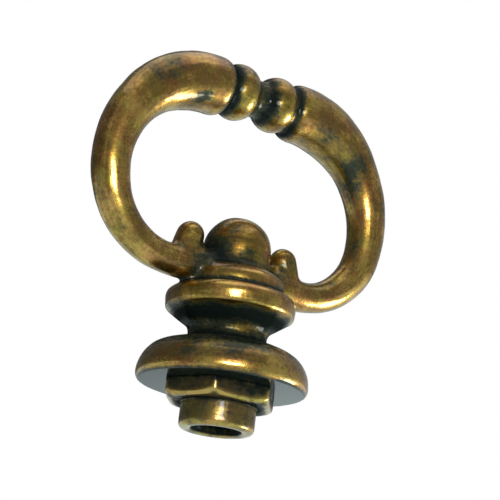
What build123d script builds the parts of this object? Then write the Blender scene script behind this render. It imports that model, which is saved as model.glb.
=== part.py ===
from build123d import *

import os
from math import cos, radians, sin

# A decorative mock key for a drawer or cabinet door, in millimetres.
# The origin is the centre of the flange's seating face. +Z runs up the stem to the bow,
# the bow lies in the XZ plane, and the screw goes in from below.

# Flange that seats on the drawer front
flange_radius = 8.0
flange_edge_round = 0.4
flange_rim_height = 0.75
flange_crown_height = 3.1

# Neck between the flange and the lower ring
neck_radius = 3.65
neck_foot_round = 0.9
neck_cove_radius = 1.2
neck_cove_angle = 55.0
neck_flare_height = 1.27

# Lower ring of the collar: a band with a crisp lower edge and a well rounded shoulder
lower_ring_radius = 6.2
lower_ring_height = 1.9
lower_ring_draft = 0.2
lower_ring_edge_round = 0.3
lower_ring_shoulder_round = 1.0

# Upper ring, a quarter-round cushion above a narrow groove
upper_ring_radius = 4.85
ring_groove_depth = 0.45
ring_groove_width = 0.2
upper_ring_lip = 0.55
upper_ring_edge_round = 0.3
upper_ring_height = 1.4

# Ball-ended post on top of the collar
post_radius = 3.2
post_height = 5.15

# Bow: centreline of one arm, from the beads round to the collar
bow_height = 28.1
bow_half_width = 14.7
bow_widest_height = 18.2
arm_straight = 0.3
lower_bend_start = 7.5
arm_foot_drop = 0.5
arm_foot_sink = 0.8

# Thickness of the arm: share of the arm's length, and the diameter there
arm_thickness = (
    (0.00, 5.7),
    (0.11, 5.5),
    (0.21, 4.85),
    (0.32, 4.2),
    (0.45, 3.75),
    (0.58, 3.45),
    (0.71, 3.1),
    (0.84, 2.95),
    (1.00, 2.95),
)

# Upturned knob at the foot of each arm
curl_foot = 6.2
curl_tip = 5.3
curl_rise = 2.75
curl_radius = 1.3
curl_root_round = 0.7

# Pair of beads on the top of the bow, a little narrower than balls
bead_rise = 0.12
bead_spacing = 4.4
bead_width = 4.5
bead_diameter = 5.4
bead_neck_diameter = 3.6
bead_to_arm = 1.3
arm_end_length = 1.35

# Hexagon bush with the screw thread, pressed into the casting
hexagon_flats = 9.5
hexagon_height = 1.7
hexagon_turn = -10.0
hexagon_chamfer_angle = 30.0
boss_radius = 3.5
boss_length = 2.4
boss_edge_round = 0.4
shank_radius = 3.0
shank_length = 3.4
shank_edge_chamfer = 0.3
socket_clearance = 0.02
socket_end_gap = 0.2
thread_diameter = 4.0
countersink_depth = 0.5


def neck_height() -> float:
    """Return the height of the narrowest part of the neck."""
    return flange_rim_height + flange_crown_height + neck_foot_round


def lower_ring_bottom() -> float:
    """Return the height of the lower ring's crisp edge, above the cove and its flare."""
    return neck_height() + neck_cove_radius * sin(radians(neck_cove_angle)) + neck_flare_height


def cushion_base() -> float:
    """Return the height where the upper ring starts to round over."""
    return lower_ring_bottom() + lower_ring_height + ring_groove_width + upper_ring_lip


def collar_top() -> float:
    """Return the height of the upper ring's top, where the post stands."""
    return cushion_base() + upper_ring_height


def collar() -> Part:
    """Return the flange, neck, rings and post, turned about the stem."""
    seat_radius = flange_radius - flange_edge_round
    crown_inner = neck_radius + neck_foot_round
    cove_centre = (neck_radius + neck_cove_radius, neck_height())
    band_foot = lower_ring_radius - lower_ring_draft
    ring_top = lower_ring_bottom() + lower_ring_height
    groove_radius = upper_ring_radius - ring_groove_depth
    groove_top = ring_top + ring_groove_width
    ball_centre = collar_top() + post_height - post_radius

    with BuildSketch(Plane.XZ) as profile:
        with BuildLine():
            seat = Line((0, 0), (seat_radius, 0))
            EllipticalCenterArc(
                (seat_radius, flange_rim_height),
                flange_edge_round,
                flange_rim_height,
                start_angle=-90,
                arc_size=90,
            )
            EllipticalCenterArc(
                (crown_inner, flange_rim_height),
                flange_radius - crown_inner,
                flange_crown_height,
                start_angle=0,
                arc_size=90,
            )
            CenterArc((crown_inner, neck_height()), neck_foot_round, 270, -90)
            cove = CenterArc(cove_centre, neck_cove_radius, 180, -neck_cove_angle)
            Polyline(
                cove @ 1,
                (band_foot, lower_ring_bottom()),
                (lower_ring_radius, ring_top),
                (groove_radius, ring_top),
                (groove_radius, groove_top),
                (upper_ring_radius, groove_top),
                (upper_ring_radius, cushion_base()),
            )
            EllipticalCenterArc(
                (post_radius, cushion_base()),
                upper_ring_radius - post_radius,
                upper_ring_height,
                start_angle=0,
                arc_size=90,
            )
            Line((post_radius, collar_top()), (post_radius, ball_centre))
            ball = CenterArc((0, ball_centre), post_radius, 0, 90)
            Line(ball @ 1, seat @ 0)
        make_face()

        def corner(x: float, z: float) -> Vertex:
            return profile.vertices().sort_by_distance((x, z))[0]

        fillet(corner(lower_ring_radius, ring_top), lower_ring_shoulder_round)
        fillet(corner(band_foot, lower_ring_bottom()), lower_ring_edge_round)
        fillet(corner(upper_ring_radius, groove_top), upper_ring_edge_round)
    return revolve(profile.sketch, Axis.Z)


def arm_end_face() -> float:
    """Return the distance from the middle of the bow to the arm's blunt end, which meets the bead."""
    return bead_spacing / 2 + bead_to_arm


def arm_start() -> float:
    """Return the distance from the middle of the bow to where the arm has its full thickness."""
    return arm_end_face() + arm_end_length


def arm_foot_height() -> float:
    """Return the height of the arm's centreline where it runs into the collar."""
    return collar_top() - arm_foot_drop


def arm_path() -> Wire:
    """Return the centreline of the right-hand arm, from the beads to its foot in the collar."""
    shoulder_start = arm_start() + arm_straight
    with BuildLine(Plane.XZ) as line:
        Line((arm_start(), bow_height), (shoulder_start, bow_height))
        EllipticalCenterArc(
            (shoulder_start, bow_widest_height),
            bow_half_width - shoulder_start,
            bow_height - bow_widest_height,
            start_angle=90,
            arc_size=-90,
        )
        bend = EllipticalCenterArc(
            (lower_bend_start, bow_widest_height),
            bow_half_width - lower_bend_start,
            bow_widest_height - arm_foot_height(),
            start_angle=0,
            arc_size=-90,
        )
        Line(bend @ 1, (post_radius - arm_foot_sink, arm_foot_height()))
    return line.wire()


def bow_arm() -> Part:
    """Return one arm of the bow, a round bar that thins from its blunt end at the beads to its foot."""
    path = arm_path()
    sections = []
    for share, diameter in arm_thickness:
        plane = Plane(origin=path @ share, x_dir=(0, 1, 0), z_dir=path % share)
        sections.append(plane * Circle(diameter / 2))
    return loft(sections) + arm_end()


def arm_end() -> Part:
    """Return the rounded end of the arm, next to the bead."""
    neck = bead_neck_diameter / 2
    radius = arm_thickness[0][1] / 2
    with BuildSketch(Plane.XZ) as half:
        with BuildLine():
            edge = EllipticalCenterArc(
                (arm_start(), neck), arm_end_length, radius - neck, start_angle=180, arc_size=-90
            )
            Polyline(edge @ 1, (arm_start(), 0), (arm_end_face(), 0), edge @ 0)
        make_face()
    return Pos(0, 0, bow_height) * revolve(half.sketch, Axis.X)


def curl() -> Part:
    """Return the round-ended knob that turns up from the foot of the arm, beside the post."""
    foot = Vector(curl_foot, 0, arm_foot_height())
    tip = Vector(curl_tip, 0, arm_foot_height() + curl_rise)
    along = tip - foot
    bar = Plane(origin=foot, z_dir=along) * Cylinder(
        curl_radius, along.length, align=(Align.CENTER, Align.CENTER, Align.MIN)
    )
    return bar + Pos(tip) * Sphere(curl_radius) + Pos(foot) * Sphere(curl_radius)


def beads() -> Part:
    """Return the pair of beads on the neck that joins the ends of the two arms."""
    neck = Cylinder(bead_neck_diameter / 2, 2 * arm_start(), rotation=(0, 90, 0))
    with BuildSketch(Plane.XZ) as half:
        with BuildLine():
            crest = EllipticalCenterArc(
                (0, 0), bead_width / 2, bead_diameter / 2, start_angle=0, arc_size=180
            )
            Line(crest @ 1, crest @ 0)
        make_face()
    bead = revolve(half.sketch, Axis.X)
    pair = neck + Pos(-bead_spacing / 2, 0, 0) * bead + Pos(bead_spacing / 2, 0, 0) * bead
    return Pos(0, 0, bow_height + bead_rise) * pair


def key_casting() -> Part:
    """Return the cast bow and collar, bored from below for the bush."""
    arm = bow_arm()
    knob = curl()
    half = arm + knob
    half = fillet(new_edges(arm, knob, combined=half), curl_root_round)
    socket = Cylinder(
        shank_radius + socket_clearance,
        shank_length + socket_end_gap,
        align=(Align.CENTER, Align.CENTER, Align.MIN),
    )
    return collar() + half + mirror(half, Plane.YZ) + beads() - socket


def hexagon() -> Part:
    """Return the hexagon, its lower corners turned back to a cone that touches the flats."""
    flat = hexagon_flats / 2
    prism = extrude(RegularPolygon(flat, 6, major_radius=False, rotation=hexagon_turn), -hexagon_height)
    slope = sin(radians(hexagon_chamfer_angle)) / cos(radians(hexagon_chamfer_angle))
    outer = flat + hexagon_height / slope
    cone = Cone(flat, outer, hexagon_height, align=(Align.CENTER, Align.CENTER, Align.MAX))
    return prism & cone


def threaded_bush() -> Part:
    """Return the bush: shank, hexagon and boss, with the screw hole through all three."""
    end = -(hexagon_height + boss_length)
    with BuildPart() as boss:
        Cylinder(boss_radius, boss_length, align=(Align.CENTER, Align.CENTER, Align.MIN))
        fillet(boss.edges().sort_by(Axis.Z)[0], boss_edge_round)
    with BuildPart() as shank:
        Cylinder(shank_radius, shank_length, align=(Align.CENTER, Align.CENTER, Align.MIN))
        chamfer(shank.edges().sort_by(Axis.Z)[-1], shank_edge_chamfer)
    bore_radius = thread_diameter / 2
    bore = Pos(0, 0, end) * Cylinder(
        bore_radius, shank_length - end, align=(Align.CENTER, Align.CENTER, Align.MIN)
    )
    mouth = Pos(0, 0, end) * Cone(
        bore_radius + countersink_depth,
        bore_radius,
        countersink_depth,
        align=(Align.CENTER, Align.CENTER, Align.MIN),
    )
    return hexagon() + Pos(0, 0, end) * boss.part + shank.part - bore - mouth


def main() -> None:
    """Build both pieces and write one file for each."""
    os.makedirs("parts", exist_ok=True)
    pieces = {"key_casting": key_casting(), "threaded_bush": threaded_bush()}
    for name, piece in pieces.items():
        export_step(piece, f"parts/{name}.step")


main()
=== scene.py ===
"""Looks of an antique brass mock key: a cast bow and collar on a turned and tapped bush."""

import logging
import math
from dataclasses import dataclass
from enum import Enum
from typing import Any

import bmesh
import bpy
import numpy as np
from mathutils import Matrix, Vector, noise
from mathutils.bvhtree import BVHTree


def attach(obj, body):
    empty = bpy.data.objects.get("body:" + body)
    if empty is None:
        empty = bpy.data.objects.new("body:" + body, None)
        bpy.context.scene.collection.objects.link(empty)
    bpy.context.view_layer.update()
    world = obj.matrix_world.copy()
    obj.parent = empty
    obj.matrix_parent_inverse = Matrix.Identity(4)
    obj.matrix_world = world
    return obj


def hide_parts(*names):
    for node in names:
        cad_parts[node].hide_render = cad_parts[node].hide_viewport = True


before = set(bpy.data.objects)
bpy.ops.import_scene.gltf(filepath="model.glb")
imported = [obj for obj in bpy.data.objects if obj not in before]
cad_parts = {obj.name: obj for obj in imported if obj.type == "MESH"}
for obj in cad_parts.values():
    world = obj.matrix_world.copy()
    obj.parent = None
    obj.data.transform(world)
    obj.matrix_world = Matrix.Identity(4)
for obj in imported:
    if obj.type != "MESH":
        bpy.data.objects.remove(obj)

# Metres in a millimetre
MM = 0.001
# Points closer than this, in millimetres, are one point
WELD_MM = 0.001
# Level about which a noise texture varies
NOISE_MIDDLE = 0.5
# Rounds of averaging that take the hard edge off a mark
FADE_ROUNDS = 4
# Darkest mark that is kept, where 1 is black
DARKEST = 1.2
# Body that every piece rides on
BODY = "root"
log = logging.getLogger("mock_key")


def linear(code: str) -> tuple[float, float, float, float]:
    """Turn an sRGB hex colour into linear red, green, blue and alpha.

    Args:
        code: Colour such as "#7A5A26".

    Returns:
        Linear colour with an alpha of 1.
    """
    parts = [int(code[i : i + 2], 16) / 255 for i in (1, 3, 5)]
    red, green, blue = [p / 12.92 if p <= 0.04045 else ((p + 0.055) / 1.055) ** 2.4 for p in parts]
    return red, green, blue, 1.0


def add_node(
    tree: bpy.types.NodeTree,
    kind: str,
    settings: dict[str | int, Any],
    links: dict[str | int, bpy.types.NodeSocket],
) -> bpy.types.Node:
    """Add one node to a tree, with its settings and links.

    Args:
        tree: Tree that takes the node.
        kind: Blender's name for the type of node.
        settings: Properties, or input sockets by name or number, and their values.
        links: Input sockets by name or number, and the output sockets that feed them.

    Returns:
        The new node.
    """
    node = tree.nodes.new(kind)
    for key, value in settings.items():
        if isinstance(key, str) and hasattr(node, key):
            setattr(node, key, value)
        else:
            node.inputs[key].default_value = value
    for key, source in links.items():
        tree.links.new(source, node.inputs[key])
    return node


def per_metre(size_mm: float) -> float:
    """Return the texture scale at which a pattern's main feature has this size in millimetres."""
    return 1 / (size_mm * MM)


def rise(values: np.ndarray, start: float, full: float, most: float = 1.0) -> np.ndarray:
    """Return how far values have come from one level to another.

    Args:
        values: Any values.
        start: Level that gives 0.
        full: Level that gives 1, which may lie below the other.
        most: Largest number that is returned.

    Returns:
        Numbers from 0 up.
    """
    return np.clip((values - start) / (full - start), 0, most)


@dataclass(frozen=True)
class LacqueredBrass:
    """Brass with a dark oxide, rubbed back to metal on the high spots, under clear lacquer.

    The oxide gives green-black hollows, rubbed metal a brown gold, and the lacquer small lights.

    Args:
        name: Name of the material.
        oxide, umber, bronze, rubbed: Its sRGB colours, from the thickest oxide to bare metal.
        oxide_at, umber_at, bronze_at, rubbed_at: Tones at which it has those colours.
        hue_low, hue_high: Turns of the hue between which its tint wanders, where 0.5 is none.
        base_tone: Tone of a plain spot.
        blotch_mm, blotch_depth: Size of the patina's blotches, and how far they change the tone.
        tint_mm: Size of a patch of one tint.
        tint_low, tint_high: Levels of its noise that give the two ends of the hue.
        fleck_mm, fleck_depth: Size of the fine flecks, and how far they change the tone.
        smear_long_mm, smear_wide_mm, smear_depth: Size and depth of a polishing cloth's smears.
        streak_long_mm, streak_wide_mm, streak_depth: Size and depth of its fine marks.
        oxide_and_shade_depth, crest_gain: How far the mark of oxide and painted shade darkens the
            tone, and a crest lightens it.
        oxide_tone: Tone up to which there is only oxide.
        metal_tone: Tone from which there is only metal.
        bare_tone: Tone from which the metal is at its smoothest.
        rough_oxide, rough_metal, lacquer_rough: Roughness of the oxide, the metal and the lacquer.
        lacquer_ior: Refractive index of the lacquer.
        grain_height_mm: Height of the fine grain that flecks and streaks give.
        grain_streaks: Height of the streaks in it, where the flecks have 1.
    """

    name: str
    oxide: str = "#161D19"
    umber: str = "#3D3D29"
    bronze: str = "#956C2E"
    rubbed: str = "#D4A555"
    oxide_at: float = 0.05
    umber_at: float = 0.34
    bronze_at: float = 0.64
    rubbed_at: float = 0.95
    hue_low: float = 0.486
    hue_high: float = 0.538
    base_tone: float = 0.555
    blotch_mm: float = 2.4
    blotch_depth: float = 1.2
    tint_mm: float = 2.4
    tint_low: float = 0.3
    tint_high: float = 0.7
    fleck_mm: float = 0.3
    fleck_depth: float = 0.38
    smear_long_mm: float = 6.0
    smear_wide_mm: float = 1.1
    smear_depth: float = 0.8
    # A cloth's finest marks are too fine to show, so they are drawn coarser
    streak_long_mm: float = 4.0
    streak_wide_mm: float = 0.22
    streak_depth: float = 0.4
    oxide_and_shade_depth: float = 1.0
    crest_gain: float = 0.2
    oxide_tone: float = 0.1
    metal_tone: float = 0.6
    bare_tone: float = 0.9
    rough_oxide: float = 0.45
    rough_metal: float = 0.24
    lacquer_rough: float = 0.1
    lacquer_ior: float = 1.5
    grain_height_mm: float = 0.012
    grain_streaks: float = 0.8

    def material(self) -> bpy.types.Material:
        """Build the finish.

        Returns:
            A material that reads Object coordinates and the marks of oxide and painted shade,
            crest, gloss and flow.
        """
        made = bpy.data.materials.new(self.name)
        made.use_nodes = True
        tree = made.node_tree
        tree.nodes.clear()
        place = add_node(tree, "ShaderNodeTexCoord", {}, {}).outputs["Object"]
        oxide_and_shade_mark, crest, gloss = [
            add_node(tree, "ShaderNodeAttribute", {"attribute_name": mark}, {}).outputs["Fac"]
            for mark in ("oxide_and_shade_mark", "crest", "gloss")
        ]
        flow = add_node(
            tree, "ShaderNodeAttribute", {"attribute_name": "flow"}, {}
        ).outputs["Vector"]

        # The tint is read elsewhere in the noise, so that its patches don't follow the blotches
        elsewhere = add_node(
            tree, "ShaderNodeMapping", {"Location": (0.3, 0.1, 0.2)}, {"Vector": place}
        ).outputs["Vector"]
        blotch, fleck, tint = [
            add_node(
                tree,
                "ShaderNodeTexNoise",
                {"Scale": per_metre(size_mm), "Detail": detail, "Roughness": ragged},
                {"Vector": spot},
            ).outputs["Fac"]
            for size_mm, detail, ragged, spot in (
                (self.blotch_mm, 5.0, 0.62, place),
                (self.fleck_mm, 2.0, 0.6, place),
                (self.tint_mm, 3.0, 0.6, elsewhere),
            )
        ]
        streak = self._drawn_out(tree, flow, self.streak_long_mm, self.streak_wide_mm)
        smear = self._drawn_out(tree, flow, self.smear_long_mm, self.smear_wide_mm)
        tone = self._sum(
            tree,
            self.base_tone,
            (
                (blotch, NOISE_MIDDLE, self.blotch_depth),
                (fleck, NOISE_MIDDLE, self.fleck_depth),
                (streak, NOISE_MIDDLE, self.streak_depth),
                (smear, NOISE_MIDDLE, self.smear_depth),
                (crest, 0.0, self.crest_gain),
                # The mark of oxide and painted shade darkens the tone
                (oxide_and_shade_mark, 0.0, -self.oxide_and_shade_depth),
            ),
        )

        ramp = add_node(tree, "ShaderNodeValToRGB", {}, {"Fac": tone})
        stops = ramp.color_ramp.elements
        stops[0].position, stops[0].color = self.oxide_at, linear(self.oxide)
        stops[1].position, stops[1].color = self.rubbed_at, linear(self.rubbed)
        for position, code in ((self.umber_at, self.umber), (self.bronze_at, self.bronze)):
            stops.new(position).color = linear(code)
        hue, metal, rough = [
            add_node(
                tree,
                "ShaderNodeMapRange",
                {"From Min": start, "From Max": end, "To Min": first, "To Max": last},
                {"Value": value},
            ).outputs["Result"]
            for value, start, end, first, last in (
                (tint, self.tint_low, self.tint_high, self.hue_low, self.hue_high),
                (tone, self.oxide_tone, self.metal_tone, 0.0, 1.0),
                (tone, self.oxide_tone, self.bare_tone, self.rough_oxide, self.rough_metal),
            )
        ]
        colour = add_node(
            tree, "ShaderNodeHueSaturation", {}, {"Hue": hue, "Color": ramp.outputs["Color"]}
        ).outputs["Color"]
        grain = self._sum(tree, 0.0, ((fleck, 0.0, 1.0), (streak, 0.0, self.grain_streaks)))
        bump = add_node(
            tree, "ShaderNodeBump", {"Distance": self.grain_height_mm * MM}, {"Height": grain}
        ).outputs["Normal"]
        # The oxide has no gloss of its own, only the lacquer's
        shader = add_node(
            tree,
            "ShaderNodeBsdfPrincipled",
            {
                "Specular IOR Level": 0.0,
                "Coat Roughness": self.lacquer_rough,
                "Coat IOR": self.lacquer_ior,
            },
            {
                "Base Color": colour,
                "Metallic": metal,
                "Roughness": rough,
                "Coat Weight": gloss,
                "Normal": bump,
            },
        ).outputs["BSDF"]
        add_node(tree, "ShaderNodeOutputMaterial", {}, {"Surface": shader})
        return made

    @staticmethod
    def _drawn_out(
        tree: bpy.types.NodeTree, flow: bpy.types.NodeSocket, long_mm: float, wide_mm: float
    ) -> bpy.types.NodeSocket:
        """Add a pattern drawn out along the bars and round the collar, as by a polishing cloth.

        Args:
            tree: Tree that takes the nodes.
            flow: Place along and around the piece, in metres.
            long_mm: Length of the pattern's main feature.
            wide_mm: Width of the pattern's main feature.

        Returns:
            The socket of the pattern, from 0 to 1.
        """
        deep_mm = 2.0
        scale = (per_metre(long_mm), per_metre(wide_mm), per_metre(deep_mm))
        drawn = add_node(
            tree, "ShaderNodeMapping", {"Scale": scale}, {"Vector": flow}
        ).outputs["Vector"]
        return add_node(
            tree,
            "ShaderNodeTexNoise",
            {"Scale": 1.0, "Detail": 3.0, "Roughness": 0.6},
            {"Vector": drawn},
        ).outputs["Fac"]

    @staticmethod
    def _sum(
        tree: bpy.types.NodeTree,
        start: float,
        parts: tuple[tuple[bpy.types.NodeSocket, float, float], ...],
    ) -> bpy.types.NodeSocket:
        """Add weighted values to a starting value.

        Args:
            tree: Tree that takes the nodes.
            start: Value before anything is added.
            parts: For each value, its socket, the level at which it adds nothing, and its weight.

        Returns:
            The socket of the sum.
        """
        level = start - sum(middle * weight for _, middle, weight in parts)
        total: bpy.types.NodeSocket | None = None
        for socket, _, weight in parts:
            settings = {"operation": "MULTIPLY_ADD", 1: weight, 2: level}
            links = {0: socket} if total is None else {0: socket, 2: total}
            total = add_node(tree, "ShaderNodeMath", settings, links).outputs["Value"]
        return total


@dataclass
class Skin:
    """An evenly meshed copy of a CAD node, in millimetres, that can be softened and marked.

    Args:
        node: Name of the CAD node.
        voxel_mm: Size of the mesh's squares.
    """

    node: str
    voxel_mm: float

    def __post_init__(self) -> None:
        """Mesh the node evenly and lay the points back on its surface."""
        source = bmesh.new()
        source.from_mesh(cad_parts[self.node].data)
        bmesh.ops.remove_doubles(source, verts=source.verts, dist=WELD_MM * MM)
        bmesh.ops.scale(source, vec=(1 / MM,) * 3, verts=source.verts)
        surface = BVHTree.FromBMesh(source)
        shape = bpy.data.meshes.new(self.node + "_welded")
        source.to_mesh(shape)
        source.free()
        holder = bpy.data.objects.new(self.node + "_even", shape)
        bpy.context.scene.collection.objects.link(holder)
        even = holder.modifiers.new("even", "REMESH")
        even.mode = "VOXEL"
        even.voxel_size = self.voxel_mm
        view = bpy.context.evaluated_depsgraph_get()
        self.mesh = bpy.data.meshes.new_from_object(holder.evaluated_get(view))
        bpy.data.objects.remove(holder)
        bpy.data.meshes.remove(shape)
        count = len(self.mesh.vertices)
        points = np.empty(count * 3, dtype=np.float32)
        self.mesh.vertices.foreach_get("co", points)
        self.points = np.array([surface.find_nearest(Vector(p))[0] for p in points.reshape(-1, 3)])
        edges = np.empty(len(self.mesh.edges) * 2, dtype=np.int32)
        self.mesh.edges.foreach_get("vertices", edges)
        self.edges = edges.reshape(-1, 2)
        self.degree = np.bincount(self.edges.ravel(), minlength=count)

    def reach(self) -> np.ndarray:
        """Return the points' distances from the screw's axis."""
        return np.hypot(self.points[:, 0], self.points[:, 1])

    def spread(self, values: np.ndarray, rounds: int) -> np.ndarray:
        """Average values with their neighbours.

        Args:
            values: One row for each point.
            rounds: How many times.

        Returns:
            The averaged values.
        """
        first, second = self.edges.T
        result = values.reshape(len(values), -1).astype(float)
        for _ in range(rounds):
            for k in range(result.shape[1]):
                column = result[:, k]
                ahead = np.bincount(first, column[second], len(column))
                behind = np.bincount(second, column[first], len(column))
                result[:, k] = (ahead + behind) / self.degree
        return result.reshape(values.shape)

    def normals(self) -> np.ndarray:
        """Bring the mesh up to date and read the points' normals.

        Returns:
            Unit vectors, one row for each point.
        """
        self.mesh.vertices.foreach_set("co", self.points.astype(np.float32).ravel())
        self.mesh.update()
        flat = np.empty(len(self.points) * 3, dtype=np.float32)
        self.mesh.vertex_normals.foreach_get("vector", flat)
        return flat.reshape(-1, 3).astype(float)

    def hollow(self, rounds: int) -> np.ndarray:
        """Return how far each point lies below its neighbourhood's mean, in millimetres.

        Args:
            rounds: Size of the neighbourhood, in rounds of averaging.

        Returns:
            Depths, positive in hollows and negative on crests.
        """
        return ((self.spread(self.points, rounds) - self.points) * self.normals()).sum(axis=1)

    def soften(self, depth_mm: float, rounds: int) -> None:
        """Fill sharp inner corners, as a casting's mould does, or wear down outer ones.

        Args:
            depth_mm: Depth of a hollow that is softened fully, or an edge's height below zero.
            rounds: How often the points there are averaged.
        """
        near_rounds, edge_rounds, step = 8, 2, 0.5
        weight = rise(self.hollow(near_rounds), 0, depth_mm)[:, None]
        weight = self.spread(weight, edge_rounds)
        for _ in range(rounds):
            self.points += step * weight * (self.spread(self.points, 1) - self.points)

    def piece(
        self, name: str, finish: bpy.types.Material, marks: dict[str, np.ndarray]
    ) -> bpy.types.Object:
        """Make the skin an object in metres.

        Args:
            name: Name of the piece.
            finish: Its material.
            marks: Point attributes that the material reads.

        Returns:
            The object, in the scene.
        """
        mesh = self.mesh
        mesh.name = name
        mesh.vertices.foreach_set("co", (self.points * MM).astype(np.float32).ravel())
        mesh.polygons.foreach_set("use_smooth", np.ones(len(mesh.polygons), dtype=bool))
        for key, values in marks.items():
            kind, field = ("FLOAT_VECTOR", "vector") if values.ndim == 2 else ("FLOAT", "value")
            layer = mesh.attributes.new(key, kind, "POINT")
            layer.data.foreach_set(field, values.astype(np.float32).ravel())
        mesh.materials.clear()
        mesh.materials.append(finish)
        mesh.update()
        made = bpy.data.objects.new(name, mesh)
        bpy.context.scene.collection.objects.link(made)
        return made


@dataclass(frozen=True)
class DarkPatch:
    """A dark patch: mostly oxide that the polishing left, in a few places painted shade over a
    highlight or on the seat.

    Args:
        place: Its middle, in millimetres.
        reach: Its size.
        depth: How dark it is, where 1 is black.
    """

    place: tuple[float, float, float]
    reach: float
    depth: float

    def on(self, points: np.ndarray) -> np.ndarray:
        """Return how dark the patch makes each point."""
        return self.depth * np.exp(-(((points - self.place) ** 2).sum(axis=1)) / self.reach**2)


@dataclass(frozen=True)
class RingMark:
    """A ring round the collar or the beads that darkens it with oxide, and in places with painted
    shade, or dulls its lacquer.

    Args:
        middle: Place of its middle along its axis, in millimetres.
        spread: Half its width.
        depth: How dark or dull it is, where 1 is most.
    """

    middle: float
    spread: float
    depth: float

    def on(self, places: np.ndarray) -> np.ndarray:
        """Return how dark or dull the ring makes points at these places along its axis."""
        return self.depth * np.exp(-(((places - self.middle) / self.spread) ** 2))


@dataclass(frozen=True)
class OxideAndShade:
    """Darkening that deepens with a measure of the skin: oxide by how hollow it is, painted shade
    by its lean.

    Args:
        start: Measure at which it starts.
        full: Measure at which it is full.
        depth: How dark it is there, where 1 is black.
    """

    start: float
    full: float
    depth: float

    def on(self, measure: np.ndarray) -> np.ndarray:
        """Return how dark points with this measure are."""
        return self.depth * rise(measure, self.start, self.full)


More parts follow.
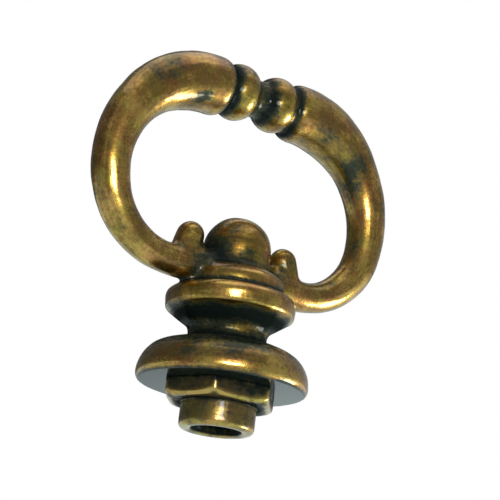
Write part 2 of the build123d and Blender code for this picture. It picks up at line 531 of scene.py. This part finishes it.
@dataclass
class KeyCasting:
    """The cast bow and collar, with a casting's soft inner corners and slightly uneven skin.

    Args:
        finish: Its finish.
        voxel_mm: Size of the mesh's squares, in millimetres as all sizes here.
        bow_height: Height of the arms' centreline at the top.
        bow_half_width: Half the width between the arms' centrelines.
        widest_height: Height at which the bow is widest.
        shoulder_start: Where the upper curve starts, from the middle.
        bend_start: Where the lower curve ends, from the middle.
        foot_height: Height of the arm's foot.
        arm_radius: Middling radius of an arm.
        arm_reach: Distance from the centreline at which an arm's skin has ended.
        beads_end: Where the beads and the arms' blunt ends stop, from the middle.
        beads_bottom: Height above which the beads lie.
        post_radius: Radius of the post.
        post_reach: Distance from the axis within which skin is the post's.
        stem_bottom, stem_top: Heights between which the neck, the rings and the post lie.
        collar_radius: Middling radius of the collar.
        collar_top: Height at which the collar ends.
        collar_fade: Height over which its rings of oxide fade there.
        ring_reach: Distance from the axis at which the rings' skin has ended.
        flange_top: Height at which the flange has ended.
        flange_reach: Distance from the axis at which the flange's skin has ended.
        seat_height: Height below which skin is the flange's seat.
        corner_depth, corner_rounds: Depth of the inner corners, and how often they are averaged.
        post_foot, post_foot_span, post_foot_reach: Height, half height and radius of its foot.
        post_foot_rounds: How often the post's foot is averaged.
        lump_mm, lump_height: Size and height of the casting's swells.
        ripple_size, ripple_height: Size and height of its ripples, as shares of the swells'.
        true_height: Height over the seat at which the swells are full.
        true_reach: Distance from the axis within which the socket's wall stays true.
        crown_height: Height above which all of the skin is uneven.
        hollow_rounds, crest_rounds: Neighbourhoods in which hollows and crests are looked for.
        crest_height: Height of a crest that is marked fully.
        bands: Rings of oxide in the collar's hollows, and of painted shade under the lower ring.
        bead_bands: Rings of oxide in the hollows beside the beads, and of painted shade by the left
            arm's end.
        bead_left_shade, bead_right_shade: Painted shade on the beads' sides, by their lean to the
            left and the right.
        stem_left_shade: Painted shade on the left of the stem, by its lean.
        hollows: Oxide in narrow hollows, by their depth.
        dark_patches: Patches of oxide, and of painted shade over highlights on the right knob, the
            ball and the right bead.
        lacquer: Strength of the lacquer on bare metal.
        lacquer_loss: How much of it black oxide takes.
        lacquer_least: Strength that is left everywhere.
        dull_bands: Rings on the neck and the post where the lacquer is dull.
        dull_reach: Distance from the axis within which they lie.
        seat_lacquer: Strength of the lacquer in the middle of the seat.
        seat_shade_slope: How much it grows with each millimetre to the right, which paints shade on
            the seat's left.
        seat_shade: Dull patch on the seat in front of the hexagon, which paints shade there.
    """

    finish: LacqueredBrass = LacqueredBrass("antique_brass_rubbed_and_lacquered")
    voxel_mm: float = 0.17
    bow_height: float = 28.1
    bow_half_width: float = 14.7
    widest_height: float = 18.2
    shoulder_start: float = 5.15
    bend_start: float = 7.5
    foot_height: float = 10.55
    arm_radius: float = 2.0
    arm_reach: float = 3.0
    beads_end: float = 4.3
    beads_bottom: float = 24.0
    post_radius: float = 3.2
    post_reach: float = 4.4
    stem_bottom: float = 4.5
    stem_top: float = 17.0
    collar_radius: float = 5.0
    collar_top: float = 12.0
    collar_fade: float = 0.6
    ring_reach: float = 6.4
    flange_top: float = 5.0
    flange_reach: float = 8.5
    seat_height: float = 0.05
    corner_depth: float = 0.05
    corner_rounds: int = 24
    post_foot: float = 11.2
    post_foot_span: float = 1.2
    post_foot_reach: float = 4.6
    post_foot_rounds: int = 14
    lump_mm: float = 3.2
    lump_height: float = 0.07
    ripple_size: float = 0.35
    ripple_height: float = 0.3
    true_height: float = 0.8
    true_reach: float = 3.1
    crown_height: float = 4.0
    hollow_rounds: int = 10
    crest_rounds: int = 70
    crest_height: float = 0.25
    bands: tuple[RingMark, ...] = (
        RingMark(3.3, 1.0, 0.42),
        RingMark(4.1, 0.45, 0.4),
        # Painted shade under the lower ring, as well as oxide
        RingMark(6.15, 0.55, 0.85),
        RingMark(9.0, 0.22, 0.4),
        RingMark(11.2, 0.5, 0.1),
    )
    bead_bands: tuple[RingMark, ...] = (
        # Painted shade by the left arm's end, as well as oxide
        RingMark(-3.7, 0.55, 0.6),
        RingMark(0.0, 0.35, 0.35),
        RingMark(3.5, 0.4, 0.3),
    )
    # Painted shade on the beads' left and right sides, by how they lean
    bead_left_shade: OxideAndShade = OxideAndShade(0.3, 0.75, 0.7)
    bead_right_shade: OxideAndShade = OxideAndShade(0.5, 0.95, 0.7)
    # Painted shade on the stem's left side, by how it leans
    stem_left_shade: OxideAndShade = OxideAndShade(0.5, 0.9, 0.12)
    hollows: OxideAndShade = OxideAndShade(0.01, 0.04, 0.22)
    dark_patches: tuple[DarkPatch, ...] = (
        DarkPatch((11.7, -2.0, 24.0), 1.8, 0.25),
        DarkPatch((11.6, -0.8, 22.3), 1.6, 0.22),
        # Painted shade that dulls the right knob's highlight
        DarkPatch((5.3, -1.2, 13.4), 1.4, 0.32),
        DarkPatch((7.0, -1.8, 25.7), 1.6, 0.2),
        DarkPatch((-7.2, -1.8, 25.7), 1.2, 0.35),
        # Darkens the post's left side
        DarkPatch((-3.1, -0.6, 13.2), 2.2, 0.4),
        # Painted shade that dulls the ball's highlight
        DarkPatch((-1.4, -2.9, 12.7), 1.7, 0.1),
        # Painted shade that dulls the right bead's highlight
        DarkPatch((1.6, -2.3, 27.9), 1.3, 0.2),
        DarkPatch((-3.0, -6.0, 2.6), 2.2, 0.2),
        DarkPatch((16.0, -1.0, 21.0), 1.6, 0.3),
        DarkPatch((-12.0, -2.0, 26.5), 1.8, 0.3),
        DarkPatch((-16.5, -0.5, 17.0), 1.6, 0.3),
    )
    lacquer: float = 0.75
    lacquer_loss: float = 0.95
    lacquer_least: float = 0.04
    dull_bands: tuple[RingMark, ...] = (RingMark(5.0, 0.7, 0.75), RingMark(13.0, 2.2, 0.5))
    dull_reach: float = 4.8
    seat_lacquer: float = 0.92
    # Painted shade on the seat: its lacquer, and so its reflection, weakens towards the left
    seat_shade_slope: float = 0.025
    # Painted shade: a dull patch on the seat in front of the hexagon
    seat_shade: DarkPatch = DarkPatch((-3.4, -5.1, 0.0), 2.8, 0.95)

    def centreline(self) -> np.ndarray:
        """Follow the right-hand arm from the middle of the bow to its foot.

        Returns:
            Points along its centreline, as places across and heights.
        """
        curve_points, top_points, foot_points = 80, 30, 20
        quarter = np.linspace(0, math.pi / 2, curve_points)
        top = np.linspace((0, self.bow_height), (self.shoulder_start, self.bow_height), top_points)
        wide, tall = self.bow_half_width - self.shoulder_start, self.bow_height - self.widest_height
        across = self.shoulder_start + wide * np.sin(quarter)
        shoulder = np.stack([across, self.widest_height + tall * np.cos(quarter)], axis=1)
        wide, tall = self.bow_half_width - self.bend_start, self.widest_height - self.foot_height
        across = self.bend_start + wide * np.cos(quarter)
        bend = np.stack([across, self.widest_height - tall * np.sin(quarter)], axis=1)
        foot_end = (self.post_radius, self.foot_height)
        foot = np.linspace((self.bend_start, self.foot_height), foot_end, foot_points)
        return np.concatenate([top, shoulder[1:], bend[1:], foot[1:]])

    def flow(self, skin: Skin) -> np.ndarray:
        """Return each point's place along and around the bar or collar that it lies on, in metres.

        Args:
            skin: The casting's skin.

        Returns:
            Length along, length around and a number that sets the arms and the collar apart.
        """
        apart = 40.0
        across, deep, height = skin.points.T
        line = self.centreline()
        run = np.concatenate([[0], np.cumsum(np.linalg.norm(np.diff(line, axis=0), axis=1))])
        side = np.abs(across)
        gaps = (side[:, None] - line[None, :, 0]) ** 2 + (height[:, None] - line[None, :, 1]) ** 2
        closest = gaps.argmin(axis=1)
        nearest = line[closest]
        out = np.hypot(side, height - self.widest_height)
        out -= np.hypot(nearest[:, 0], nearest[:, 1] - self.widest_height)
        along = run[closest] * np.sign(across)
        around = self.arm_radius * np.arctan2(deep, out)
        off_arms = np.sqrt(gaps.min(axis=1) + deep**2) > self.arm_reach
        collar = off_arms | (skin.reach() < self.post_reach) & (height < self.stem_top)
        turned = np.arctan2(deep, across) * self.collar_radius
        first, second = np.where(collar, turned, along), np.where(collar, height, around)
        return np.stack([first, second, collar * apart], axis=1) * MM

    def build(self) -> Skin:
        """Mesh the casting, round its inner corners and give it a casting's uneven skin.

        Returns:
            The skin.
        """
        skin = Skin("key_casting", self.voxel_mm)
        skin.soften(self.corner_depth, self.corner_rounds)
        post_foot = np.abs(skin.points[:, 2] - self.post_foot) < self.post_foot_span
        post_foot &= skin.reach() < self.post_foot_reach
        eased = skin.spread(skin.points, self.post_foot_rounds)
        share = skin.spread(post_foot.astype(float), FADE_ROUNDS)[:, None]
        skin.points += share * (eased - skin.points)
        swell, ripple = [
            np.array([noise.noise(Vector(p) / size) for p in skin.points])
            for size in (self.lump_mm, self.ripple_size * self.lump_mm)
        ]
        height = skin.points[:, 2]
        free = rise(height, 0, self.true_height) * (skin.reach() > self.true_reach)
        free = np.where(height > self.crown_height, 1.0, free)
        lift = (swell + self.ripple_height * ripple) * self.lump_height * free
        skin.points += lift[:, None] * skin.normals()
        return skin

    def oxide(self, skin: Skin) -> np.ndarray:
        """Lay oxide in the hollows and patches, and painted shade on the beads' sides, the stem's
        left, under the lower ring, by the left arm's end and over three highlights.

        Args:
            skin: The casting's skin.

        Returns:
            How dark each point is, where 1 is black.
        """
        across, height, reach = skin.points[:, 0], skin.points[:, 2], skin.reach()
        lean = skin.normals()[:, 0]
        collar = rise(height, self.collar_top, self.collar_top - self.collar_fade)
        collar *= reach < np.where(height < self.flange_top, self.flange_reach, self.ring_reach)
        beads = (np.abs(across) < self.beads_end) & (height > self.beads_bottom)
        stem = (height > self.stem_bottom) & (height < self.stem_top) & (reach < self.ring_reach)
        # Oxide in the collar's hollows, with painted shade under the lower ring
        dark = collar * sum(band.on(height) for band in self.bands)
        # Oxide patches, and painted shade over three highlights
        dark += sum(patch.on(skin.points) for patch in self.dark_patches)
        # Painted shade on the beads' sides, by how they lean
        dark += beads * (self.bead_left_shade.on(-lean) + self.bead_right_shade.on(lean))
        # Oxide beside the beads, with painted shade by the left arm's end
        dark += beads * sum(band.on(across) for band in self.bead_bands)
        dark += self.hollows.on(skin.hollow(self.hollow_rounds))
        # Painted shade on the stem's left side
        dark += stem * self.stem_left_shade.on(-lean)
        return dark

    def gloss(self, skin: Skin, dark: np.ndarray) -> np.ndarray:
        """Thin the lacquer over oxide and in the dull rings, and paint shade on the seat with a
        dull patch and a fall to the left.

        Args:
            skin: The casting's skin.
            dark: How dark each point is.

        Returns:
            The lacquer's strength at each point.
        """
        across, height = skin.points[:, 0], skin.points[:, 2]
        loss = self.lacquer_loss * skin.spread(np.clip(dark, 0, 1), FADE_ROUNDS)
        strength = np.clip(self.lacquer - loss, self.lacquer_least, 1)
        dull = (skin.reach() < self.dull_reach) * sum(band.on(height) for band in self.dull_bands)
        strength *= 1 - dull
        # Painted shade on the seat: a fall to the left and a dull patch in front of the hexagon
        seat = self.seat_lacquer + self.seat_shade_slope * across
        seat *= 1 - self.seat_shade.on(skin.points)
        return np.where(height < self.seat_height, seat, strength)

    def dress(self, skin: Skin) -> bpy.types.Object:
        """Mark the skin for its finish, and put it in the place of the CAD node.

        Args:
            skin: The casting's skin.

        Returns:
            The finished piece.
        """
        dark = self.oxide(skin)
        seat = skin.points[:, 2] < self.seat_height
        marks = {
            # The dark mark holds oxide and painted shade
            "oxide_and_shade_mark": skin.spread(np.clip(dark + seat, 0, DARKEST), FADE_ROUNDS),
            "crest": rise(-skin.hollow(self.crest_rounds), 0, self.crest_height),
            "gloss": self.gloss(skin, dark),
            "flow": self.flow(skin),
        }
        piece = skin.piece("cast_key", self.finish.material(), marks)
        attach(piece, BODY)
        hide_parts("key_casting")
        return piece


@dataclass
class ThreadedBush:
    """The turned bush with its hexagon, boss and screw thread.

    Args:
        finish: Its finish.
        voxel_mm: Size of the mesh's squares, in millimetres as all sizes here.
        edge_height, edge_rounds: Height of the edges that wear, and how often they are averaged.
        worn_top, true_bottom: Heights between which wear gives way to the true fit in the casting.
        hexagon_bottom, hexagon_fade: Height of the hexagon's end, and over which its oxide fades.
        hexagon_oxide: Oxide on the hexagon's flats.
        hexagon_under_shade: Painted shade on it, by how far it faces down.
        near_rounds: Neighbourhood in which edges and corners are looked for.
        crest_start, crest_full: Heights at which an edge starts to be marked, and is marked fully.
        crest_most: Most that a higher edge is marked.
        crest_top, crest_fade: Height below which edges are marked, and over which marks fade in.
        boss_radius: Radius of the boss.
        hole_reach: Distance from the axis within which skin is the hole's.
        hole_shade: Painted shade in the hole.
        corners: Oxide in inner corners, by their depth.
        dark_patches: Patches of oxide on the boss.
        lacquer, lacquer_least: Strength of the lacquer on bare metal, and what is left everywhere.
        thread_radius: Radius of the thread's root in the bush.
        thread_crest: Radius of the thread's crest.
        thread_pitch: Distance from turn to turn.
        thread_bottom: Height of the first turn.
        thread_top: Height of the last turn.
        thread_steps: Points in each turn.
        thread_shade, thread_gloss: Painted shade and lacquer on the thread.
        ridge_root, ridge_crest: Widths of the ridge, as shares of the pitch.
        ridge_turn: Turn of the ridge's section, in radians, that points it at the screw's axis.
    """

    finish: LacqueredBrass = LacqueredBrass(
        "turned_brass_darkened_and_lacquered",
        umber="#4C4029",
        bronze="#886C36",
        rubbed="#C8A458",
        base_tone=0.48,
        crest_gain=0.35,
        streak_long_mm=9.0,
        streak_wide_mm=0.16,
        blotch_mm=1.5,
        blotch_depth=1.5,
        streak_depth=0.25,
    )
    voxel_mm: float = 0.09
    edge_height: float = 0.015
    edge_rounds: int = 30
    worn_top: float = -0.5
    true_bottom: float = -0.25
    hexagon_bottom: float = -1.75
    hexagon_fade: float = 0.1
    hexagon_oxide: float = 0.33
    # Painted shade on the hexagon's down-facing faces
    hexagon_under_shade: OxideAndShade = OxideAndShade(0.0, 1.0, 0.47)
    near_rounds: int = 16
    crest_start: float = 0.006
    crest_full: float = 0.036
    crest_most: float = 1.3
    crest_top: float = -0.3
    crest_fade: float = 0.3
    boss_radius: float = 3.5
    hole_reach: float = 2.35
    # Painted shade in the hole
    hole_shade: float = 0.7
    corners: OxideAndShade = OxideAndShade(0.0, 0.02, 0.2)
    dark_patches: tuple[DarkPatch, ...] = (
        DarkPatch((0.8, -3.4, -2.6), 0.9, 0.3),
        DarkPatch((-3.0, -1.8, -2.0), 0.6, 0.2),
        DarkPatch((2.6, 2.4, -3.0), 1.0, 0.35),
    )
    lacquer: float = 0.6
    lacquer_least: float = 0.05
    thread_radius: float = 2.0
    thread_crest: float = 1.64
    thread_pitch: float = 0.7
    thread_bottom: float = -3.25
    thread_top: float = 3.05
    thread_steps: int = 40
    # Painted shade on the thread inside the hole
    thread_shade: float = 0.35
    thread_gloss: float = 0.1
    ridge_root: float = 0.92
    ridge_crest: float = 0.2
    ridge_turn: float = -math.pi / 2

    def build(self) -> Skin:
        """Mesh the bush and wear its outer edges.

        Returns:
            The skin.
        """
        skin = Skin("threaded_bush", self.voxel_mm)
        sharp = skin.points.copy()
        skin.soften(-self.edge_height, self.edge_rounds)
        seated = rise(sharp[:, 2], self.worn_top, self.true_bottom)[:, None]
        skin.points += seated * (sharp - skin.points)
        return skin

    def dress(self, skin: Skin) -> bpy.types.Object:
        """Mark the bush for its finish, put it in the place of the CAD node and add the thread.

        Args:
            skin: The bush's skin.

        Returns:
            The finished piece.
        """
        near, lean = skin.hollow(self.near_rounds), skin.normals()[:, 2]
        across, deep, height = skin.points.T
        reach = skin.reach()
        crest = rise(-near, self.crest_start, self.crest_full, self.crest_most)
        crest *= rise(height, self.crest_top, self.crest_top - self.crest_fade)
        hexagon = rise(height, self.hexagon_bottom, self.hexagon_bottom + self.hexagon_fade)
        # Oxide on the hexagon's flats, with painted shade on its down-facing faces
        dark = hexagon * (self.hexagon_oxide + self.hexagon_under_shade.on(-lean)) * rise(crest, 1, 0)
        # Painted shade in the hole, and oxide in inner corners
        dark += self.hole_shade * (reach < self.hole_reach) + self.corners.on(near)
        dark += sum(patch.on(skin.points) for patch in self.dark_patches)
        # The dark mark holds oxide and painted shade
        oxide_and_shade_mark = skin.spread(np.clip(dark, 0, DARKEST), FADE_ROUNDS)
        around = np.arctan2(deep, across) * self.boss_radius
        marks = {
            "oxide_and_shade_mark": oxide_and_shade_mark,
            "crest": crest,
            "gloss": np.clip(self.lacquer - oxide_and_shade_mark, self.lacquer_least, 1),
            "flow": np.stack([around, height, reach], axis=1) * MM,
        }
        finish = self.finish.material()
        piece = skin.piece("turned_bush", finish, marks)
        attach(piece, BODY)
        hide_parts("threaded_bush")
        thread = self.thread(finish)
        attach(thread, BODY)
        log.info("%s: %d faces", thread.name, len(thread.data.polygons))
        return piece

    def winding(self, finish: bpy.types.Material, inputs: list[str]) -> bpy.types.NodeTree:
        """Build the Geometry Nodes tree that winds a ridge up a screw's line.

        Args:
            finish: Material of the ridge.
            inputs: Names of the tree's inputs.

        Returns:
            The tree.
        """
        tree = bpy.data.node_groups.new("wind_thread", "GeometryNodeTree")
        for name in inputs:
            tree.interface.new_socket(name, in_out="INPUT", socket_type="NodeSocketFloat")
        tree.interface.new_socket("Geometry", in_out="OUTPUT", socket_type="NodeSocketGeometry")
        size = add_node(tree, "NodeGroupInput", {}, {}).outputs
        spiral = add_node(
            tree,
            "GeometryNodeCurveSpiral",
            {"Resolution": self.thread_steps},
            {
                "Rotations": size["Turns"],
                "Start Radius": size["Middle Radius"],
                "End Radius": size["Middle Radius"],
                "Height": size["Rise"],
            },
        ).outputs["Curve"]
        upright = add_node(
            tree, "GeometryNodeSetCurveNormal", {"mode": "Z_UP"}, {"Curve": spiral}
        ).outputs["Curve"]
        ridge = add_node(
            tree,
            "GeometryNodeCurvePrimitiveQuadrilateral",
            {"mode": "TRAPEZOID", "Offset": 0.0},
            {
                "Bottom Width": size["Ridge Root"],
                "Top Width": size["Ridge Crest"],
                "Height": size["Ridge Depth"],
            },
        ).outputs["Curve"]
        turned = add_node(
            tree,
            "GeometryNodeTransform",
            {"Rotation": (0.0, 0.0, self.ridge_turn)},
            {"Geometry": ridge},
        ).outputs["Geometry"]
        wound = add_node(
            tree,
            "GeometryNodeCurveToMesh",
            {"Fill Caps": True},
            {"Curve": upright, "Profile Curve": turned},
        ).outputs["Mesh"]
        lift = add_node(tree, "ShaderNodeCombineXYZ", {}, {"Z": size["Bottom"]}).outputs["Vector"]
        placed = add_node(
            tree, "GeometryNodeTransform", {}, {"Geometry": wound, "Translation": lift}
        ).outputs["Geometry"]
        real = add_node(
            tree, "GeometryNodeRealizeInstances", {}, {"Geometry": placed}
        ).outputs["Geometry"]
        dressed = add_node(
            tree, "GeometryNodeSetMaterial", {"Material": finish}, {"Geometry": real}
        ).outputs["Geometry"]
        add_node(tree, "NodeGroupOutput", {}, {"Geometry": dressed})
        return tree

    def thread(self, finish: bpy.types.Material) -> bpy.types.Object:
        """Wind the screw thread's ridge up the inside of the hole.

        Args:
            finish: The bush's material.

        Returns:
            The thread, in the scene.
        """
        height = self.thread_top - self.thread_bottom
        sizes = {
            "Turns": height / self.thread_pitch,
            "Middle Radius": (self.thread_radius + self.thread_crest) / 2 * MM,
            "Rise": height * MM,
            "Bottom": self.thread_bottom * MM,
            "Ridge Depth": (self.thread_radius - self.thread_crest) * MM,
            "Ridge Root": self.ridge_root * self.thread_pitch * MM,
            "Ridge Crest": self.ridge_crest * self.thread_pitch * MM,
        }
        tree = self.winding(finish, list(sizes))
        holder = bpy.data.objects.new("thread_holder", bpy.data.meshes.new("thread_holder"))
        bpy.context.scene.collection.objects.link(holder)
        winding = holder.modifiers.new("wind_thread", "NODES")
        winding.node_group = tree
        for item in tree.interface.items_tree:
            if item.name in sizes:
                winding[item.identifier] = sizes[item.name]
        view = bpy.context.evaluated_depsgraph_get()
        mesh = bpy.data.meshes.new_from_object(holder.evaluated_get(view))
        bpy.data.objects.remove(holder)
        shape = bmesh.new()
        shape.from_mesh(mesh)
        bmesh.ops.remove_doubles(shape, verts=shape.verts, dist=WELD_MM * MM)
        bmesh.ops.recalc_face_normals(shape, faces=shape.faces)
        shape.to_mesh(mesh)
        shape.free()
        # The thread is darkened with painted shade inside the hole
        for key, level in (("oxide_and_shade_mark", self.thread_shade), ("gloss", self.thread_gloss)):
            layer = mesh.attributes.new(key, "FLOAT", "POINT")
            layer.data.foreach_set("value", np.full(len(mesh.vertices), level, dtype=np.float32))
        mesh.name = "screw_thread"
        made = bpy.data.objects.new("screw_thread", mesh)
        bpy.context.scene.collection.objects.link(made)
        return made


class LampRole(Enum):
    """What each studio lamp is for."""

    FRONT = "front"
    LOW_SIDE = "low_side"


@dataclass(frozen=True)
class Lamp:
    """A soft lamp with an oval face.

    Args:
        role: What it is for.
        toward: Direction from the key to the lamp.
        distance_mm: Distance from the key.
        wide_mm: Width of its face.
        tall_mm: Height of its face.
        brightness: Brightness of its face, where 1 is white paper.
    """

    role: LampRole
    toward: tuple[float, float, float]
    distance_mm: float
    wide_mm: float
    tall_mm: float
    brightness: float

    def place(self, target: Vector) -> bpy.types.Object:
        """Add the lamp.

        Args:
            target: Point that it shines at, in metres.

        Returns:
            The lamp's object.
        """
        data = bpy.data.lights.new("lamp_" + self.role.value, "AREA")
        data.shape = "ELLIPSE"
        data.size = self.wide_mm * MM
        data.size_y = self.tall_mm * MM
        face = math.pi * data.size * data.size_y / 4
        data.energy = self.brightness * math.pi * face
        made = bpy.data.objects.new(data.name, data)
        made.visible_camera = False
        bpy.context.scene.collection.objects.link(made)
        away = Vector(self.toward).normalized()
        made.location = target + away * self.distance_mm * MM
        made.rotation_mode = "QUATERNION"
        made.rotation_quaternion = (-away).to_track_quat("-Z", "Y")
        return made


@dataclass(frozen=True)
class Card:
    """A curved card that stands round the key.

    Args:
        name: Its name.
        colour: Its sRGB colour.
        start: Direction of its first edge round the key, in degrees, where 0 is the front.
        end: Direction of its last edge.
        low_mm: Height of its lower edge above the key's seat.
        high_mm: Height of its upper edge.
        radius_mm: Its distance from the key.
        edges: How many upright edges make its curve.
    """

    name: str
    colour: str
    start: float
    end: float
    low_mm: float
    high_mm: float
    radius_mm: float = 290.0
    edges: int = 25


@dataclass
class Studio:
    """Floor, cards, lamps, white surroundings and camera.

    Args:
        floor_drop_mm: Depth of the floor below the key's seat.
        floor_half_mm: Half its width.
        floor_colour: Its sRGB colour.
        floor_evenness: How much of it the camera and the metal see without light and shade.
        matt_rough: Roughness of the floor and the cards.
        cards: The cards.
        lamps: The lamps.
        lit_height_mm: Height over the seat that the lamps shine at.
        azimuth: Camera's direction round the key, in degrees.
        elevation: Camera's height above the horizon, in degrees.
        roll: Camera's turn about its own axis, in degrees.
        distance_mm: Camera's distance from the seat.
        picture: Width and height of the picture in pixels.
        focal_pixels: Focal length in pixels of that picture.
        seat_pixel: Where the middle of the flange's seat stands in the picture.
        clip_mm: Distance within which the camera sees nothing.
    """

    floor_drop_mm: float = 80.0
    floor_half_mm: float = 2000.0
    floor_colour: str = "#D2E1E1"
    floor_evenness: float = 0.85
    matt_rough: float = 0.9
    cards: tuple[Card, ...] = (
        Card("front_card", "#C8C8C8", -85.0, 45.0, -80.0, 450.0),
        Card("left_card", "#808080", -214.0, -85.0, 0.0, 450.0),
        Card("right_card", "#D4D4D4", 45.0, 146.0, 10.0, 450.0),
    )
    lamps: tuple[Lamp, ...] = (
        Lamp(LampRole.FRONT, (-0.41, -0.91, 0.02), 240.0, 110.0, 64.0, 16.0),
        Lamp(LampRole.LOW_SIDE, (0.78, -0.31, -0.54), 150.0, 60.0, 100.0, 14.0),
    )
    lit_height_mm: float = 13.0
    azimuth: float = -33.85
    elevation: float = -15.63
    roll: float = -6.68
    distance_mm: float = 197.6
    picture: float = 500.0
    focal_pixels: float = 2157.9
    seat_pixel: tuple[float, float] = (220.74, 388.06)
    clip_mm: float = 10.0

    def build(self) -> None:
        """Set up everything round the key."""
        self._floor()
        for card in self.cards:
            self._card(card)
        self._surroundings()
        for lamp in self.lamps:
            lamp.place(Vector((0, 0, self.lit_height_mm * MM)))
        self._camera()
        bpy.context.scene.view_settings.view_transform = "Standard"

    def _floor(self) -> None:
        """Lay a wide pale floor below the camera, which the cards' shade hardly shows on."""
        shape = bmesh.new()
        bmesh.ops.create_grid(shape, x_segments=1, y_segments=1, size=self.floor_half_mm * MM)
        bmesh.ops.translate(shape, verts=shape.verts, vec=(0, 0, -self.floor_drop_mm * MM))
        tree = self._prop("floor", shape, self.floor_colour).active_material.node_tree
        rays = add_node(tree, "ShaderNodeLightPath", {}, {}).outputs
        seen = rays["Is Camera Ray"]
        adding = {"operation": "ADD", "use_clamp": True}
        for kind in ("Is Glossy Ray", "Is Transmission Ray"):
            both = {0: seen, 1: rays[kind]}
            seen = add_node(tree, "ShaderNodeMath", adding, both).outputs["Value"]
        weighing = {"operation": "MULTIPLY", 1: self.floor_evenness}
        share = add_node(tree, "ShaderNodeMath", weighing, {0: seen}).outputs["Value"]
        colour = {"Color": linear(self.floor_colour)}
        even = add_node(tree, "ShaderNodeEmission", colour, {}).outputs["Emission"]
        matt = tree.nodes["Principled BSDF"].outputs["BSDF"]
        mixed = add_node(
            tree, "ShaderNodeMixShader", {}, {"Fac": share, 1: matt, 2: even}
        ).outputs["Shader"]
        tree.links.new(mixed, tree.nodes["Material Output"].inputs["Surface"])

    def _card(self, card: Card) -> None:
        """Stand a curved card round the key, which the metal shows and the camera doesn't see.

        Args:
            card: The card.
        """
        shape = bmesh.new()
        rows = []
        for turn in np.linspace(card.start, card.end, card.edges):
            angle = math.radians(turn)
            across = Vector((math.sin(angle), -math.cos(angle), 0)) * card.radius_mm * MM
            ends = [(across.x, across.y, z * MM) for z in (card.low_mm, card.high_mm)]
            rows.append([shape.verts.new(end) for end in ends])
        for left, right in zip(rows, rows[1:]):
            shape.faces.new((left[0], right[0], right[1], left[1]))
        self._prop(card.name, shape, card.colour).visible_camera = False

    def _prop(self, name: str, shape: bmesh.types.BMesh, code: str) -> bpy.types.Object:
        """Add a piece of the studio.

        Args:
            name: Its name.
            shape: Its mesh, which is used up.
            code: Its sRGB colour.

        Returns:
            The object.
        """
        mesh = bpy.data.meshes.new(name)
        shape.to_mesh(mesh)
        shape.free()
        paint = bpy.data.materials.new(name + "_matt_paint")
        paint.use_nodes = True
        shader = paint.node_tree.nodes["Principled BSDF"]
        shader.inputs["Base Color"].default_value = linear(code)
        shader.inputs["Roughness"].default_value = self.matt_rough
        mesh.materials.append(paint)
        made = bpy.data.objects.new(name, mesh)
        bpy.context.scene.collection.objects.link(made)
        return made

    def _surroundings(self) -> None:
        """Make the surroundings plain white."""
        world = bpy.data.worlds.new("white_room")
        world.use_nodes = True
        tree = world.node_tree
        tree.nodes.clear()
        light = add_node(
            tree, "ShaderNodeBackground", {"Color": linear("#FFFFFF"), "Strength": 1.0}, {}
        ).outputs["Background"]
        add_node(tree, "ShaderNodeOutputWorld", {}, {"Surface": light})
        bpy.context.scene.world = world

    def _camera(self) -> None:
        """Stand the camera where the photograph was taken from."""
        turn, climb, roll = [math.radians(a) for a in (self.azimuth, self.elevation, self.roll)]
        flat = math.cos(climb)
        back = Vector((math.sin(turn) * flat, -math.cos(turn) * flat, math.sin(climb)))
        level = (-back).cross(Vector((0, 0, 1))).normalized()
        down = (-back).cross(level)
        right = math.cos(roll) * level + math.sin(roll) * down
        below = math.cos(roll) * down - math.sin(roll) * level
        middle = self.picture / 2
        shift = [(p - middle) / self.focal_pixels * self.distance_mm for p in self.seat_pixel]
        data = bpy.data.cameras.new("camera")
        data.sensor_fit = "HORIZONTAL"
        data.lens = self.focal_pixels / self.picture * data.sensor_width
        data.clip_start = self.clip_mm * MM
        made = bpy.data.objects.new("camera", data)
        bpy.context.scene.collection.objects.link(made)
        axes = Matrix((right, -below, back)).transposed().to_4x4()
        spot = (back * self.distance_mm - right * shift[0] - below * shift[1]) * MM
        made.matrix_world = Matrix.Translation(spot) @ axes
        bpy.context.scene.camera = made


def main() -> None:
    """Build and dress the pieces, then the studio."""
    logging.basicConfig(level=logging.INFO, format="%(name)s: %(message)s")
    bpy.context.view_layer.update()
    for part in (KeyCasting(), ThreadedBush()):
        piece = part.dress(part.build())
        log.info("%s: %d faces", piece.name, len(piece.data.polygons))
    Studio().build()


if __name__ == "__main__":
    main()
